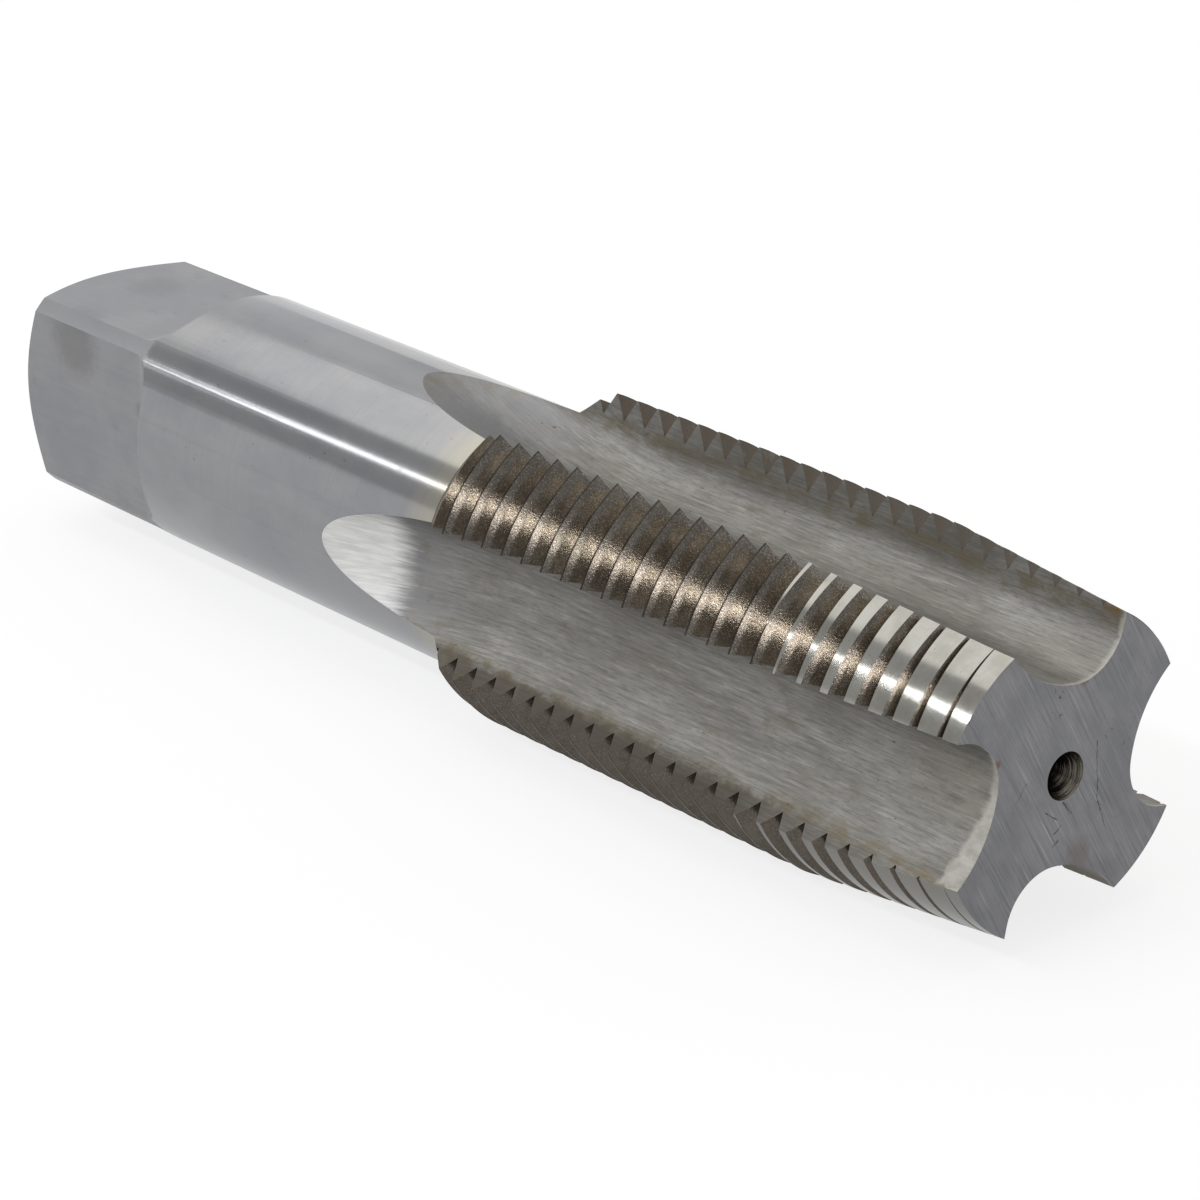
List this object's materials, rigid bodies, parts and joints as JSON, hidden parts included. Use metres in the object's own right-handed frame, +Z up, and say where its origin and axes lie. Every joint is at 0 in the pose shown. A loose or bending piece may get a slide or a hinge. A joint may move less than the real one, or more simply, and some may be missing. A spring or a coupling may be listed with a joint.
{
  "type": "thread tap",
  "caption": "Large straight-flute hand tap: a threaded, fluted cutting end with a taper lead, a plain shank and a driving square.",
  "frame": {"origin": "centre of the flat face at the drive end", "axes": "+X along the tap's axis towards the cutting end, +Z up as it lies on two of its lands"},
  "size_m": [0.162, 0.0346, 0.0346],
  "materials": {
    "ground_steel": "ground, satin, with brown tarnish in the thread and flutes"
  },
  "bodies": {
    "root": {"tap": "ground_steel"}
  },
  "joints": []
}
